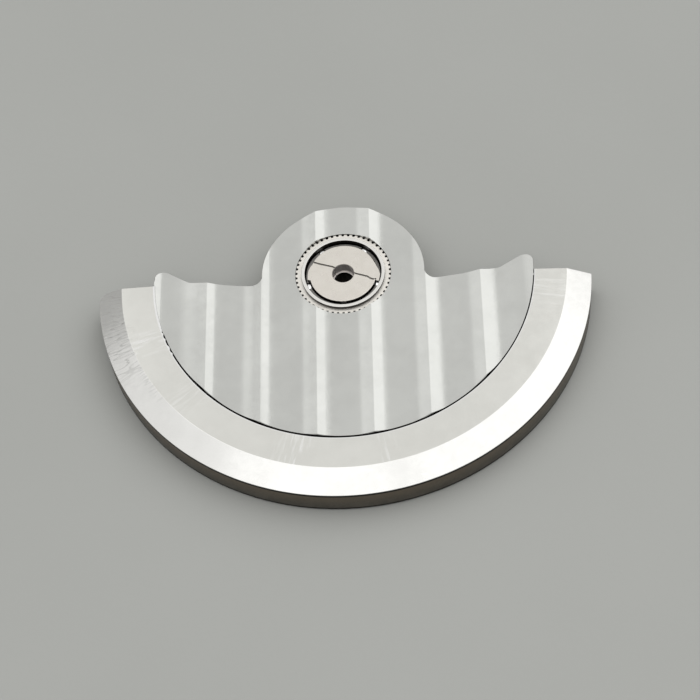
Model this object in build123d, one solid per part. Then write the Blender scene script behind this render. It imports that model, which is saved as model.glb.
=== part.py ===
"""Oscillating weight of a self-winding watch, on its split-core ball bearing.

Millimetres, +Z up. The origin is on the bearing's axis, in the plane where the core
sits on the movement. The heavy segment hangs towards -Y, and its flat foot lies a
little below the origin's plane. Looked at from above, the striped plate faces up.
"""
import math
import os

from build123d import *

full_turn = 360.0
half_turn = 180.0

# Heavy segment
outer_radius = 12.5
rim_slope_width = 1.24
land_width = 1.66
ledge_width = 1.10
foot_width = 2.30
segment_height = 2.0
rim_wall_height = 1.45
end_fall_angle = 2.3
foot_drop = 0.30
foot_chamfer = 0.12
ledge_thickness = 0.70

# Carrier plate, seated in the segment's step
seam_gap = 0.03
plate_thickness = 0.50
lobe_radius = 4.12
horn_height = 0.60
horn_crest_inset = 0.62
horn_foot_inset = 1.76
horn_foot_fall = 0.10
shoulder_fall = 1.10
horn_tip_fillet = 0.45
horn_crest_fillet = 0.50
horn_foot_fillet = 0.50
lobe_fillet = 0.50
stripe_pitch = 2.78
stripe_depth = 0.07
stripe_count = 7

# Rivets that hold the plate to the segment from below
rivet_count = 5
rivet_shank_radius = 0.24
rivet_head_radius = 0.38
rivet_head_height = 0.18
rivet_grip = 0.25

# Core, the bearing's inner race, broken into two halves
core_radius = 1.70
core_drop = 0.17
seat_radius = 1.30
foot_relief = 0.30
screw_hole_radius = 0.45
recess_radius = 0.55
recess_depth = 0.59
recess_chamfer = 0.05
crack_gap = 0.03

# Balls and cage between the two races
race_gap = 0.25
ball_count = 5
ball_radius = 0.35
ball_clearance = 0.02
ball_cover = 0.09
first_ball_angle = -90.0
cage_side_clearance = 0.055
cage_top_clearance = 0.05
cage_web = 0.08

# Outer race: a bright lip inside a knurled flange, and a round seat for the gear
lip_wall = 0.17
lip_drop = 0.04
flange_width = 0.21
flange_drop = 0.15
knurl_count = 54
knurl_depth = 0.10
race_wall = 0.25
shoulder_overlap = 0.37

# Drive gear on the underside
gear_teeth = 35
gear_module = 0.18
gear_thickness = 0.45
gear_inset = 0.05

# How far every cut runs past the metal that it cuts
overrun = 1.0

# Heights, measured from the plane of the core's seat
foot_z = -foot_drop
land_z = foot_z + segment_height
plate_bottom_z = land_z - plate_thickness
ledge_bottom_z = plate_bottom_z - ledge_thickness
core_top_z = land_z - core_drop
recess_floor_z = core_top_z - recess_depth
ball_z = core_top_z - ball_cover - ball_radius
ear_bottom_z = core_top_z - ball_cover + ball_clearance
race_bottom_z = foot_relief
lip_top_z = land_z - lip_drop
flange_top_z = land_z - flange_drop
gear_bottom_z = race_bottom_z + gear_inset
gear_top_z = gear_bottom_z + gear_thickness

# Radii that follow from the sizes above
land_outer_radius = outer_radius - rim_slope_width
foot_inner_radius = outer_radius - foot_width
seam_radius = land_outer_radius - land_width
ledge_inner_radius = seam_radius - ledge_width
plate_radius = seam_radius - seam_gap / 2
step_radius = seam_radius + seam_gap / 2
groove_radius = ball_radius + ball_clearance
ball_orbit_radius = core_radius + race_gap / 2
lip_inner_radius = core_radius + race_gap
lip_outer_radius = lip_inner_radius + lip_wall
knurl_root_radius = lip_outer_radius + flange_width
plate_bore_radius = knurl_root_radius + knurl_depth
gear_seat_radius = ball_orbit_radius + groove_radius + race_wall
shoulder_radius = plate_bore_radius + shoulder_overlap
rivet_orbit_radius = (ledge_inner_radius + plate_radius) / 2
segment_span_angle = half_turn - 2 * end_fall_angle
ball_pitch_angle = full_turn / ball_count

# The crack across the core, from left to right, as shares of the core's radius
crack_shares = [
    (-1.300, 0.605), (-0.897, 0.450), (-0.676, 0.365), (-0.324, 0.253), (-0.248, 0.202),
    (0.368, -0.030), (0.717, -0.155), (0.800, -0.229), (0.906, -0.269), (1.000, -0.241),
    (1.300, -0.241),
]
crack_reach_share = 1.5

# Ears on the core's top edge: the angle, and the reach as a share of the race gap
rear_ear_shares = [(20.4, 0.0), (10.3, 0.16), (3.5, 0.44), (-5.7, 0.73),
                   (-17.5, 0.75), (-18.0, 0.12), (-14.0, 0.12)]
front_ear_shares = [(160.4, 0.0), (165.3, 0.12), (172.6, 0.34), (182.0, 0.41),
                    (189.3, 0.50), (191.6, 0.03)]
ear_root_share = 0.90
ear_root_inset_angle = 3.0

# Half a tooth, from root to tip: the share of the tooth's pitch from its middle line
knurl_flank_shares = [0.42, 0.16]
gear_flank_shares = [0.32, 0.25, 0.11]
gear_root_share = 1.25


def polar(radius, angle):
    """A point in the plane, at a radius and an angle in degrees from +X."""
    turn = math.radians(angle)
    return radius * math.cos(turn), radius * math.sin(turn)


def turned(points, start_angle=0.0, arc=full_turn):
    """The solid swept about Z by an outline of (radius, height) points."""
    profile = Plane.XZ * make_face(Polyline(*points, close=True))
    return revolve(Rot(0, 0, start_angle) * profile, Axis.Z, revolution_arc=arc)


def prism(points, bottom, top):
    """An upright solid between two heights on an outline of (x, y) points."""
    return Pos(0, 0, bottom) * extrude(make_face(Polyline(*points, close=True)), top - bottom)


def toothed_outline(count, flank):
    """A round outline of equal teeth, each flank given as (radius, share of pitch)."""
    pitch_angle = full_turn / count
    points = []
    for tooth in range(count):
        middle = tooth * pitch_angle
        points += [polar(radius, middle - share * pitch_angle) for radius, share in flank]
        points += [polar(radius, middle + share * pitch_angle) for radius, share in reversed(flank)]
    return points


def nearest_corners(outline, x, y):
    """The outline's corners closest to the point (x, y) and to its mirror (-x, y)."""
    return [outline.vertices().sort_by_distance(Vector(side * x, y, 0))[0] for side in (1, -1)]


# Heavy segment

def rivet_angles():
    """Angles of the rivets, evenly spread along the segment."""
    step = segment_span_angle / rivet_count
    first = -half_turn + end_fall_angle + step / 2
    return [first + number * step for number in range(rivet_count)]


def rivet(angle):
    """A rivet with its countersunk head flush with the ledge's underside."""
    solid = turned([
        (0, ledge_bottom_z),
        (rivet_head_radius, ledge_bottom_z),
        (rivet_shank_radius, ledge_bottom_z + rivet_head_height),
        (rivet_shank_radius, plate_bottom_z + rivet_grip),
        (0, plate_bottom_z + rivet_grip),
    ])
    x, y = polar(rivet_orbit_radius, angle)
    return Pos(x, y, 0) * solid


def heavy_segment():
    """The half ring: flat land, sloping rim, tall outer wall and the plate's step."""
    foot_outer_radius = outer_radius - foot_chamfer
    ring = turned([
        (ledge_inner_radius, ledge_bottom_z),
        (ledge_inner_radius, plate_bottom_z),
        (step_radius, plate_bottom_z),
        (step_radius, land_z),
        (land_outer_radius, land_z),
        (outer_radius, foot_z + rim_wall_height),
        (outer_radius, foot_z + foot_chamfer),
        (foot_outer_radius, foot_z),
        (foot_inner_radius, foot_z),
        (foot_inner_radius, ledge_bottom_z),
    ], -half_turn + end_fall_angle, segment_span_angle)
    for angle in rivet_angles():
        ring -= rivet(angle)
    return ring


# Carrier plate

def plate_outline():
    """The plate from above: a half disc with two horns, and a round lobe at the hub."""
    horn_crest_x = plate_radius - horn_crest_inset
    horn_foot_x = plate_radius - horn_foot_inset
    reach = plate_radius + overrun
    below = Polygon(
        (-reach, -reach), (reach, -reach), (reach, horn_height), (horn_crest_x, horn_height),
        (horn_foot_x, -horn_foot_fall), (0, -shoulder_fall), (-horn_foot_x, -horn_foot_fall),
        (-horn_crest_x, horn_height), (-reach, horn_height), align=None,
    )
    outline = (Circle(plate_radius) & below) + Circle(lobe_radius)
    horn_tip_x = math.sqrt(plate_radius**2 - horn_height**2)
    shoulder_slope = (shoulder_fall - horn_foot_fall) / horn_foot_x
    lobe_x = lobe_radius
    lobe_y = shoulder_slope * lobe_x - shoulder_fall
    for x, y, radius in [
        (horn_tip_x, horn_height, horn_tip_fillet),
        (horn_crest_x, horn_height, horn_crest_fillet),
        (horn_foot_x, -horn_foot_fall, horn_foot_fillet),
        (lobe_x, lobe_y, lobe_fillet),
    ]:
        outline = fillet(nearest_corners(outline, x, y), radius)
    return outline


def stripe_cutters():
    """Long shallow rounds, side by side along X, that leave the plate's stripes."""
    half_pitch = stripe_pitch / 2
    radius = (half_pitch**2 + stripe_depth**2) / (2 * stripe_depth)
    length = 2 * (plate_radius + overrun)
    bar = Rot(90, 0, 0) * Cylinder(radius, length)
    first_x = -stripe_pitch * (stripe_count - 1) / 2
    height = land_z - stripe_depth + radius
    return [Pos(first_x + number * stripe_pitch, 0, height) * bar for number in range(stripe_count)]


def carrier_plate():
    """The striped plate, with the bearing's bore and the rivets' blind holes."""
    plate = Pos(0, 0, plate_bottom_z) * extrude(plate_outline(), plate_thickness + overrun)
    plate -= stripe_cutters()
    plate -= Pos(0, 0, plate_bottom_z) * Cylinder(plate_bore_radius, 2 * (plate_thickness + overrun))
    for angle in rivet_angles():
        plate -= rivet(angle)
    return plate


# Ball bearing

def ball_angles():
    """Angles of the balls round the bearing's axis."""
    return [first_ball_angle + number * ball_pitch_angle for number in range(ball_count)]


def ball_groove():
    """The ring that both races leave open for the balls to roll in."""
    return Pos(0, 0, ball_z) * Torus(ball_orbit_radius, groove_radius)


def bearing_outer_race():
    """The race that turns with the weight: lip, knurled flange, shoulder and gear seat."""
    race = turned([
        (lip_inner_radius, race_bottom_z),
        (gear_seat_radius, race_bottom_z),
        (gear_seat_radius, gear_top_z),
        (shoulder_radius, gear_top_z),
        (shoulder_radius, plate_bottom_z),
        (lip_outer_radius, plate_bottom_z),
        (lip_outer_radius, lip_top_z),
        (lip_inner_radius, lip_top_z),
    ])
    flank = list(zip([knurl_root_radius, plate_bore_radius], knurl_flank_shares))
    knurl = prism(toothed_outline(knurl_count, flank), plate_bottom_z, flange_top_z)
    knurl -= Pos(0, 0, plate_bottom_z) * Cylinder(lip_outer_radius, 2 * (plate_thickness + overrun))
    return race + knurl - ball_groove()


def drive_gear():
    """The gear pressed on the outer race's seat, which drives the winding train."""
    pitch_radius = gear_module * gear_teeth / 2
    radii = [pitch_radius - gear_root_share * gear_module, pitch_radius, pitch_radius + gear_module]
    flank = list(zip(radii, gear_flank_shares))
    gear = prism(toothed_outline(gear_teeth, flank), gear_bottom_z, gear_top_z)
    return gear - Pos(0, 0, gear_bottom_z) * Cylinder(gear_seat_radius, 2 * (gear_thickness + overrun))


def ball(angle):
    """One ball at its place on the orbit."""
    x, y = polar(ball_orbit_radius, angle)
    return Pos(x, y, ball_z) * Sphere(ball_radius)


def ball_cage():
    """The thin crown between the races, with a pocket for each ball, open at the top."""
    inner_radius = core_radius + cage_side_clearance
    ring_outer_radius = lip_inner_radius - cage_side_clearance
    bottom = ball_z - groove_radius - cage_web
    top = ear_bottom_z - cage_top_clearance
    cage = turned([(inner_radius, bottom), (ring_outer_radius, bottom),
                   (ring_outer_radius, top), (inner_radius, top)])
    for angle in ball_angles():
        x, y = polar(ball_orbit_radius, angle)
        cage -= Pos(x, y, ball_z) * Rot(0, 0, angle) * Rot(0, 90, 0) * Cylinder(groove_radius, overrun)
    return cage


def ear(shares):
    """An ear on the core's top edge, from its angles and its shares of the race gap."""
    root_radius = ear_root_share * core_radius
    first_angle = shares[0][0]
    last_angle = shares[-1][0]
    inward = math.copysign(ear_root_inset_angle, first_angle - last_angle)
    points = [polar(core_radius + share * race_gap, angle) for angle, share in shares]
    points += [polar(root_radius, last_angle + inward), polar(root_radius, first_angle)]
    return prism(points, ear_bottom_z, core_top_z)


def core_blank():
    """The core in one piece: seat, flanges, groove and the stepped hole for its screw."""
    core = turned([
        (screw_hole_radius, 0),
        (seat_radius, 0),
        (seat_radius, race_bottom_z),
        (core_radius, race_bottom_z),
        (core_radius, core_top_z),
        (recess_radius + recess_chamfer, core_top_z),
        (recess_radius, core_top_z - recess_chamfer),
        (recess_radius, recess_floor_z),
        (screw_hole_radius, recess_floor_z),
    ])
    return core - ball_groove()


def core_half(side, ear_shares):
    """One half of the broken core: side is +1 for the rear half and -1 for the front."""
    reach = side * crack_reach_share * core_radius
    shift = side * crack_gap / 2
    edge = [(core_radius * x + shift, core_radius * y + shift) for x, y in crack_shares]
    corners = [(edge[-1][0], reach), (edge[0][0], reach)]
    return (core_blank() & prism(edge + corners, -overrun, core_top_z + overrun)) + ear(ear_shares)


parts = {
    "heavy_segment": heavy_segment(),
    "carrier_plate": carrier_plate(),
    "bearing_outer_race": bearing_outer_race(),
    "drive_gear": drive_gear(),
    "ball_cage": ball_cage(),
    "inner_race_half_rear": core_half(1, rear_ear_shares),
    "inner_race_half_front": core_half(-1, front_ear_shares),
}
for number, angle in enumerate(rivet_angles(), start=1):
    parts[f"rivet_{number}"] = rivet(angle)
for number, angle in enumerate(ball_angles(), start=1):
    parts[f"ball_{number}"] = ball(angle)

os.makedirs("parts", exist_ok=True)
for name, shape in parts.items():
    export_step(shape, f"parts/{name}.step")
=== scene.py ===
"""Looks of a self-winding watch's oscillating weight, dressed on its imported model.

Blender works in metres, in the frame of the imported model: the origin is on the
bearing's axis, in the plane where the core sits, and the striped plate faces up.
The classes hold their sizes in millimetres and their angles in degrees.
"""

import logging
import math
from collections.abc import Callable, Iterable, Sequence
from dataclasses import dataclass, field
from enum import Enum
from functools import cached_property

import bmesh
import bpy
from mathutils import Matrix, Vector


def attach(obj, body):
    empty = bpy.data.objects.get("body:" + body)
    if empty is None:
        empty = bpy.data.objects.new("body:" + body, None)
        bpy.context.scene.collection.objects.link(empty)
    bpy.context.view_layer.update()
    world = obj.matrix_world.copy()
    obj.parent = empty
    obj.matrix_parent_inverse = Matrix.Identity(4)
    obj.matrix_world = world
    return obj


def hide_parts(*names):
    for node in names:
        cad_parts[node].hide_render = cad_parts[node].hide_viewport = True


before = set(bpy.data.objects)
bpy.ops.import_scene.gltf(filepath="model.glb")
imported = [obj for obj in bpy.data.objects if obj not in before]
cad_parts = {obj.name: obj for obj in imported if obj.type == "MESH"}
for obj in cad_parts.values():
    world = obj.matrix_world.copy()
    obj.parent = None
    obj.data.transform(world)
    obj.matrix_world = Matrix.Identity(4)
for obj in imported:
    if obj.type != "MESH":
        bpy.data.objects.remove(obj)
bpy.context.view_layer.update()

LOG = logging.getLogger("oscillating_weight")
MM = 0.001
FULL_TURN = 360.0
QUARTER_TURN = 90.0
UP = (0, 0, 1)

# Size of the small plane that is merged into a blank's first point.
SPECK = 0.1

# How far off a point still counts as the same point, and as at the place that is looked for.
SAME_PLACE = 0.0001
NEAR = 0.004

# Limits for the upward part of a face's normal: a top is over LEVEL, whatever looks up is over
# TILTED, a slope stays under FLAT and a wall under UPRIGHT.
FLAT = 0.99
LEVEL = 0.95
TILTED = 0.2
UPRIGHT = 0.5

# Short lines in each round on a corner, and steps round the turned parts of the bearing.
ROUND_STEPS = 3
BEARING_STEPS = 144

# Sizes that more than one piece or finish goes by.
SEAM_RADIUS = 9.615
SLOPE_RADIUS = 11.26
TOP_HEIGHT = 1.70
BORE_RADIUS = 2.43
STRIPE_PITCH = 2.76

Place = tuple[float, float, float]
Pairs = Sequence[tuple[float, float]]
Colour = tuple[float, float, float]
PointTest = Callable[[float, float, float], bool]
FaceTest = Callable[[Vector, Vector], bool]
Input = bpy.types.NodeSocket | float
Shade = bpy.types.NodeSocket | Colour


class Carving(Enum):
    """What a carving tool does to the piece it is set against."""

    AWAY = "DIFFERENCE"
    ON = "UNION"
    COMMON = "INTERSECT"


class Body(Enum):
    """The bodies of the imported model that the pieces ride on."""

    CORE = "core"
    WEIGHT = "weight"
    CAGE = "cage"
    BALL = "ball"


class Slot(Enum):
    """The record's material slots."""

    SEGMENT = "segment_metal"
    PLATE = "plate_plating"
    RACE = "race_steel"
    CORE = "core_steel"
    BALL = "ball_steel"
    CAGE = "cage_steel"
    GEAR = "gear_brass"
    RIVET = "rivet_steel"


def polar(radius: float, angle: float, height: float = 0.0) -> Place:
    """A place from its radius, its angle from +X and its height."""
    turn = math.radians(angle)
    return radius * math.cos(turn), radius * math.sin(turn), height


def angle_at(x: float, y: float) -> float:
    """The angle of a place from +X."""
    return math.degrees(math.atan2(y, x))


def metres(place: Iterable[float]) -> Vector:
    """A place in millimetres as a vector in metres."""
    return Vector(place) * MM


@dataclass(frozen=True)
class Corner:
    """A corner of a turned outline.

    Args:
        radius: distance from the axis.
        height: height above the core's seat.
        rounding: width of the round on the corner, or 0 for a sharp one.
    """

    radius: float
    height: float
    rounding: float = 0.0


class Blank:
    """A piece on the bench: drawn, filled and shaped in edit mode until it is taken off."""

    def __init__(self, name: str, start: Place) -> None:
        """Puts down the point that the outline is drawn from.

        Args:
            name: the piece's name.
            start: the point's place.
        """
        bpy.ops.object.select_all(action="DESELECT")
        bpy.ops.mesh.primitive_plane_add(size=SPECK * MM, location=metres(start))
        bpy.ops.object.transform_apply(location=True, rotation=True, scale=True)
        self.piece = bpy.context.object
        self.piece.name = name
        self.tip = metres(start)
        bpy.ops.object.mode_set(mode="EDIT")
        bpy.ops.mesh.select_all(action="SELECT")
        bpy.ops.mesh.merge(type="CENTER")

    def line_to(self, place: Place) -> None:
        """Draws a straight line from the last point."""
        end = metres(place)
        bpy.ops.mesh.extrude_vertices_move(TRANSFORM_OT_translate={"value": end - self.tip})
        self.tip = end

    def arc(self, turn: float, steps: int, centre: Place = (0, 0, 0)) -> None:
        """Draws an arc from the last point, about an upright axis.

        Args:
            turn: the angle turned, counter-clockwise seen from above.
            steps: the number of short lines in the arc.
            centre: a point on the axis.
        """
        angle = math.radians(turn)
        bpy.ops.mesh.spin(steps=steps, angle=-angle, center=metres(centre), axis=UP)
        self.tip = metres(centre) + Matrix.Rotation(angle, 3, UP) @ (self.tip - metres(centre))

    def pick(self, test: PointTest) -> None:
        """Selects the points that pass a test, with the edges and faces between them.

        Args:
            test: a test of a point's place.
        """
        mesh = bmesh.from_edit_mesh(self.piece.data)
        mesh.select_mode = {"VERT"}
        for group in (mesh.faces, mesh.edges, mesh.verts):
            for part in group:
                part.select = False
        for point in mesh.verts:
            point.select = bool(test(*(point.co / MM)))
        mesh.select_flush(True)
        bmesh.update_edit_mesh(self.piece.data)

    def pick_places(self, places: Sequence[Place]) -> None:
        """Selects the points at these places."""
        spots = [Vector(place) for place in places]
        self.pick(lambda x, y, z: any((Vector((x, y, z)) - spot).length < NEAR for spot in spots))

    def pick_faces(self, test: FaceTest) -> None:
        """Selects the faces that pass a test.

        Args:
            test: a test of a face's middle and normal.
        """
        bpy.ops.mesh.select_mode(type="FACE")
        mesh = bmesh.from_edit_mesh(self.piece.data)
        for face in mesh.faces:
            face.select_set(bool(test(face.calc_center_median() / MM, face.normal)))
        bmesh.update_edit_mesh(self.piece.data)

    def fill(self) -> None:
        """Closes the drawn outline with a face."""
        bpy.ops.mesh.select_all(action="SELECT")
        bpy.ops.mesh.edge_face_add()

    def hollow(self) -> None:
        """Takes the face out of the outline and keeps its edges."""
        bpy.ops.mesh.select_all(action="SELECT")
        bpy.ops.mesh.delete(type="ONLY_FACE")

    def round_corners(self, width: float) -> None:
        """Rounds the picked corners of a flat outline."""
        bpy.ops.mesh.bevel(offset=width * MM, affect="VERTICES", segments=ROUND_STEPS)

    def round_edges(self, width: float, steps: int = 1) -> None:
        """Rounds the picked edges, or chamfers them in one step."""
        bpy.ops.mesh.bevel(offset=width * MM, affect="EDGES", segments=steps)

    def raise_by(self, height: float) -> None:
        """Draws the flat outline up, or down, into a solid."""
        bpy.ops.mesh.select_all(action="SELECT")
        bpy.ops.mesh.extrude_region_move(TRANSFORM_OT_translate={"value": (0, 0, height * MM)})

    def revolve(self, steps: int, turn: float = FULL_TURN, centre: Place = (0, 0, 0)) -> None:
        """Turns the outline about an upright axis."""
        bpy.ops.mesh.select_all(action="SELECT")
        bpy.ops.mesh.spin(steps=steps, angle=-math.radians(turn), center=metres(centre),
                          axis=UP, use_auto_merge=turn == FULL_TURN)

    def repeat_tooth(self, count: int) -> None:
        """Opens the drawn tooth where its neighbours join on, and repeats it round the bearing's axis.

        Args:
            count: the number of teeth.
        """
        self.clean()
        half = FULL_TURN / count / 2
        sides = [Vector(polar(1.0, side * half + QUARTER_TURN)) for side in (-1, 1)]
        self.pick_faces(lambda middle, normal: any(abs(side.dot(middle)) < NEAR for side in sides)
                        and abs(normal.z) < UPRIGHT)
        bpy.ops.mesh.delete(type="ONLY_FACE")
        bpy.ops.mesh.select_mode(type="VERT")
        bpy.ops.mesh.select_all(action="SELECT")
        bpy.ops.mesh.spin(steps=count - 1, dupli=True, center=(0, 0, 0), axis=UP,
                          angle=-math.radians(FULL_TURN * (count - 1) / count))
        self.clean()

    def slice_at(self, x: float, lean: float, snap: float) -> None:
        """Cuts all faces along an upright plane.

        Args:
            x: where the plane crosses X.
            lean: the plane's turn from Y, counter-clockwise.
            snap: points this close to the plane are taken as on it.
        """
        bpy.ops.mesh.select_all(action="SELECT")
        bpy.ops.mesh.bisect(plane_co=metres((x, 0, 0)), plane_no=polar(1.0, lean), threshold=snap * MM)

    def shrink(self, factor: float) -> None:
        """Draws the picked points towards the bearing's axis."""
        bpy.ops.transform.resize(value=(factor, factor, 1.0), center_override=(0.0, 0.0, 0.0))

    def clean(self) -> None:
        """Merges doubled points, drops loose ones and turns the faces outwards."""
        bpy.ops.mesh.select_mode(type="VERT")
        bpy.ops.mesh.select_all(action="SELECT")
        bpy.ops.mesh.remove_doubles(threshold=SAME_PLACE * MM)
        bpy.ops.mesh.delete_loose(use_faces=False)
        bpy.ops.mesh.select_all(action="SELECT")
        bpy.ops.mesh.normals_make_consistent(inside=False)

    def take_off(self) -> bpy.types.Object:
        """Cleans the mesh and leaves edit mode.

        Returns:
            The finished blank.
        """
        self.clean()
        bpy.ops.object.mode_set(mode="OBJECT")
        return self.piece


def hold(piece: bpy.types.Object) -> None:
    """Makes a piece the only selected and the active one."""
    bpy.ops.object.select_all(action="DESELECT")
    piece.select_set(True)
    bpy.context.view_layer.objects.active = piece


def drawn(name: str, places: Sequence[Place]) -> Blank:
    """A flat face inside an outline.

    Args:
        name: the piece's name.
        places: the outline's corners, in order.

    Returns:
        The blank, still on the bench.
    """
    blank = Blank(name, places[0])
    for place in places[1:]:
        blank.line_to(place)
    blank.fill()
    return blank


def turned(name: str, corners: Sequence[Corner], steps: int, start: float = 0.0,
           turn: float = FULL_TURN, centre: Place = (0, 0, 0)) -> Blank:
    """A piece turned from an outline of corners.

    Args:
        name: the piece's name.
        corners: the outline, in order, with its axis at radius 0.
        steps: the number of steps round the axis.
        start: the angle where a part turn starts.
        turn: the angle turned.
        centre: a point on the upright axis.

    Returns:
        The blank, still on the bench.
    """
    places = [tuple(Vector(polar(corner.radius, start, corner.height)) + Vector(centre))
              for corner in corners]
    blank = drawn(name, places)
    for width in sorted({corner.rounding for corner in corners} - {0.0}):
        blank.pick_places([place for place, corner in zip(places, corners) if corner.rounding == width])
        blank.round_corners(width)
    if turn == FULL_TURN:
        blank.hollow()
    blank.revolve(steps, turn, centre)
    blank.clean()
    return blank


@dataclass(frozen=True)
class BallTrack:
    """The track of the balls, between the grooves of the outer race and the core.

    Args:
        orbit: radius of the circle that the balls' centres are on.
        height: height of the balls' centres.
        groove_radius: radius of the grooves across.
        steps: the number of short lines across a groove.
    """

    orbit: float = 1.825
    height: float = 1.09
    groove_radius: float = 0.37
    steps: int = 14

    def groove(self, wall: float) -> list[Corner]:
        """The corners of the groove in a round wall, from its upper edge to its lower one.

        Args:
            wall: radius of the wall that it is cut in.

        Returns:
            The corners, in order.
        """
        side = 1 if wall > self.orbit else -1
        reach = math.acos(abs(wall - self.orbit) / self.groove_radius)
        angles = [reach - 2 * reach * step / self.steps for step in range(self.steps + 1)]
        return [Corner(self.orbit + side * self.groove_radius * math.cos(angle),
                       self.height + self.groove_radius * math.sin(angle)) for angle in angles]


TRACK = BallTrack()


def carve(piece: bpy.types.Object, tool: bpy.types.Object, way: Carving, keep_tool: bool = False) -> None:
    """Cuts a piece with a tool, joins the two, or keeps what they share.

    Args:
        piece: the piece that changes.
        tool: the solid that it is cut with.
        way: what the tool does.
        keep_tool: True where the tool is used again or is a piece itself.
    """
    hold(piece)
    modifier = piece.modifiers.new("carve", "BOOLEAN")
    modifier.operation = way.value
    modifier.solver = "EXACT"
    modifier.object = tool
    bpy.ops.object.modifier_apply(modifier=modifier.name)
    if not keep_tool:
        bpy.data.objects.remove(tool)


def resize(piece: bpy.types.Object, factor: float) -> None:
    """Resizes a held piece about the origin."""
    piece.scale = (factor, factor, factor)
    bpy.ops.object.transform_apply(location=False, rotation=False, scale=True)


def smooth(piece: bpy.types.Object, sharp_angle: float, weighted: bool = True) -> None:
    """Smooths the shading of a piece up to an angle between its faces.

    The large faces lead the small rounds beside them. Their areas count only on a piece
    of some size, so the piece is enlarged while they are weighed.

    Args:
        piece: the piece.
        sharp_angle: edges that turn more than this stay sharp.
        weighted: False to weigh all faces alike.
    """
    hold(piece)
    bpy.ops.mesh.customdata_custom_splitnormals_clear()
    bpy.ops.object.shade_smooth_by_angle(angle=math.radians(sharp_angle), keep_sharp_edges=False)
    if weighted:
        resize(piece, 1 / MM)
        modifier = piece.modifiers.new("shade", "WEIGHTED_NORMAL")
        modifier.keep_sharp = True
        bpy.ops.object.modifier_apply(modifier=modifier.name)
        resize(piece, MM)


def copy_turned(piece: bpy.types.Object, name: str, angle: float) -> bpy.types.Object:
    """A copy with its own mesh, turned about the bearing's axis.

    Args:
        piece: the piece to copy.
        name: the copy's name.
        angle: the angle turned.

    Returns:
        The copy.
    """
    hold(piece)
    bpy.ops.object.duplicate(linked=False)
    copy = bpy.context.object
    copy.name = name
    copy.rotation_euler.z = math.radians(angle)
    bpy.ops.object.transform_apply(location=False, rotation=True, scale=False)
    return copy


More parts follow.
